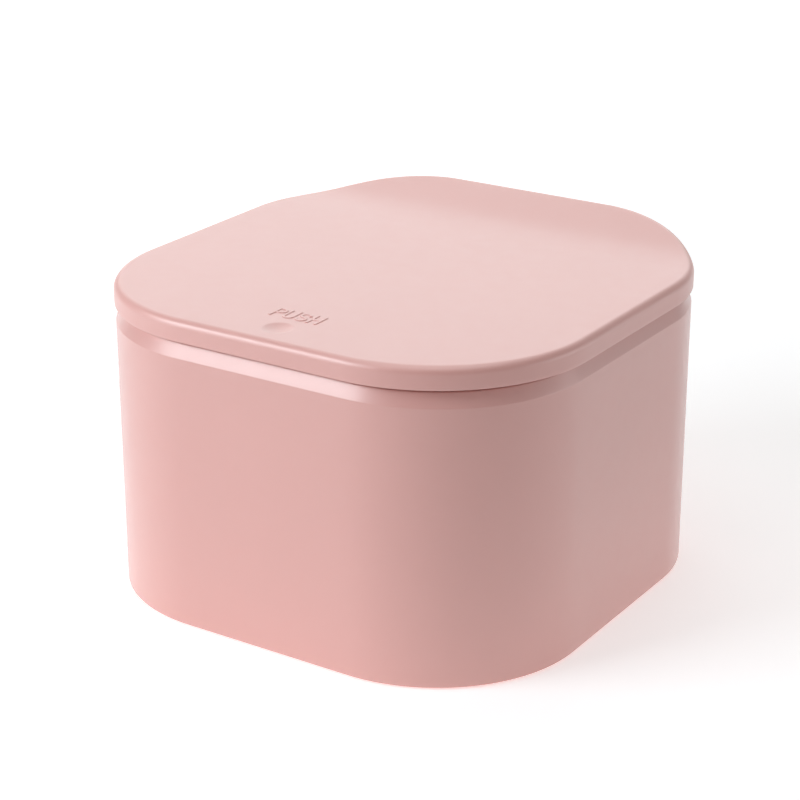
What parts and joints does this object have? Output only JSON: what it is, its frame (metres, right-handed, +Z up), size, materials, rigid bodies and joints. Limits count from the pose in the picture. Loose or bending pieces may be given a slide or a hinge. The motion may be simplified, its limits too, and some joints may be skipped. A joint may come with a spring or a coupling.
{
  "type": "push top countertop bin",
  "caption": "Small square-rounded countertop waste bin with a press-to-open lid that swings up on a rear hinge from a lift-off collar.",
  "frame": {"origin": "middle of the footprint on the worktop, level with the undersides of the rubber feet", "axes": "+Z up, the pressed front of the lid faces -Y, the hinge is at the rear, +Y"},
  "size_m": [0.18, 0.18, 0.1199],
  "materials": {
    "body_plastic": "semi-gloss moulded pink",
    "rubber_feet": "matte soft grey",
    "collar_plastic": "semi-gloss moulded pink",
    "lid_plastic": "fine matte moulded pink",
    "tray_plastic": "semi-gloss moulded pink",
    "pin_steel": "ground steel",
    "spring_steel": "drawn spring wire",
    "screw_steel": "zinc plated",
    "latch_plastic": "off-white moulded",
    "latch_nylon": "natural nylon",
    "damper_plastic": "black moulded",
    "gear_nylon": "natural nylon"
  },
  "bodies": {
    "bin": {"outer_body": "body_plastic", "foot_front_left": "rubber_feet", "foot_front_right": "rubber_feet", "foot_rear_left": "rubber_feet", "foot_rear_right": "rubber_feet"},
    "collar": {"collar_frame": "collar_plastic", "hinge_pin_left": "pin_steel", "hinge_pin_right": "pin_steel", "torsion_spring_left": "spring_steel", "torsion_spring_right": "spring_steel", "latch_housing": "latch_plastic", "latch_spring": "spring_steel", "latch_cam_pin": "pin_steel", "latch_screws": "screw_steel", "damper_body": "damper_plastic", "damper_screw": "screw_steel"},
    "lid": {"lid_cover": "lid_plastic", "lid_tray": "tray_plastic", "lid_screws": "screw_steel"},
    "slider": {"latch_slider": "latch_nylon"},
    "claw_left": {"latch_claw_left": "latch_nylon"},
    "claw_right": {"latch_claw_right": "latch_nylon"},
    "pinion": {"damper_pinion": "gear_nylon"}
  },
  "joints": [
    {"name": "collar_lift", "type": "slide", "parent": "bin", "child": "collar", "axis": [0, 0, 1], "range_m": [0, 0.06]},
    {"name": "lid_hinge", "type": "hinge", "parent": "collar", "child": "lid", "pos_m": [0, 0.0835, 0.1125], "axis": [-1, 0, 0], "range_deg": [-0.5, 80], "deforming": ["torsion_spring_left", "torsion_spring_right"]},
    {"name": "latch_slide", "type": "slide", "parent": "collar", "child": "slider", "axis": [0, 0, 1], "range_m": [-0.0015, 0.0081], "deforming": ["latch_spring"]},
    {"name": "claw_left_pivot", "type": "hinge", "parent": "slider", "child": "claw_left", "pos_m": [-0.004, -0.074, 0.0831], "axis": [0, -1, 0], "range_deg": [-0.2, 8.1]},
    {"name": "claw_right_pivot", "type": "hinge", "parent": "slider", "child": "claw_right", "pos_m": [0.004, -0.074, 0.0831], "axis": [0, 1, 0], "range_deg": [-0.2, 8.1]},
    {"name": "damper_turn", "type": "hinge", "parent": "collar", "child": "pinion", "pos_m": [0.0006, 0.07615, 0.10515], "axis": [-1, 0, 0], "range_deg": [-130, 2]}
  ],
  "couplings": [
    {"joint": "latch_slide", "follows": "lid_hinge", "m_per_rad": 0.0057296},
    {"joint": "claw_left_pivot", "follows": "lid_hinge", "ratio": 0.1},
    {"joint": "claw_right_pivot", "follows": "lid_hinge", "ratio": 0.1},
    {"joint": "damper_turn", "follows": "lid_hinge", "ratio": -1.6}
  ]
}
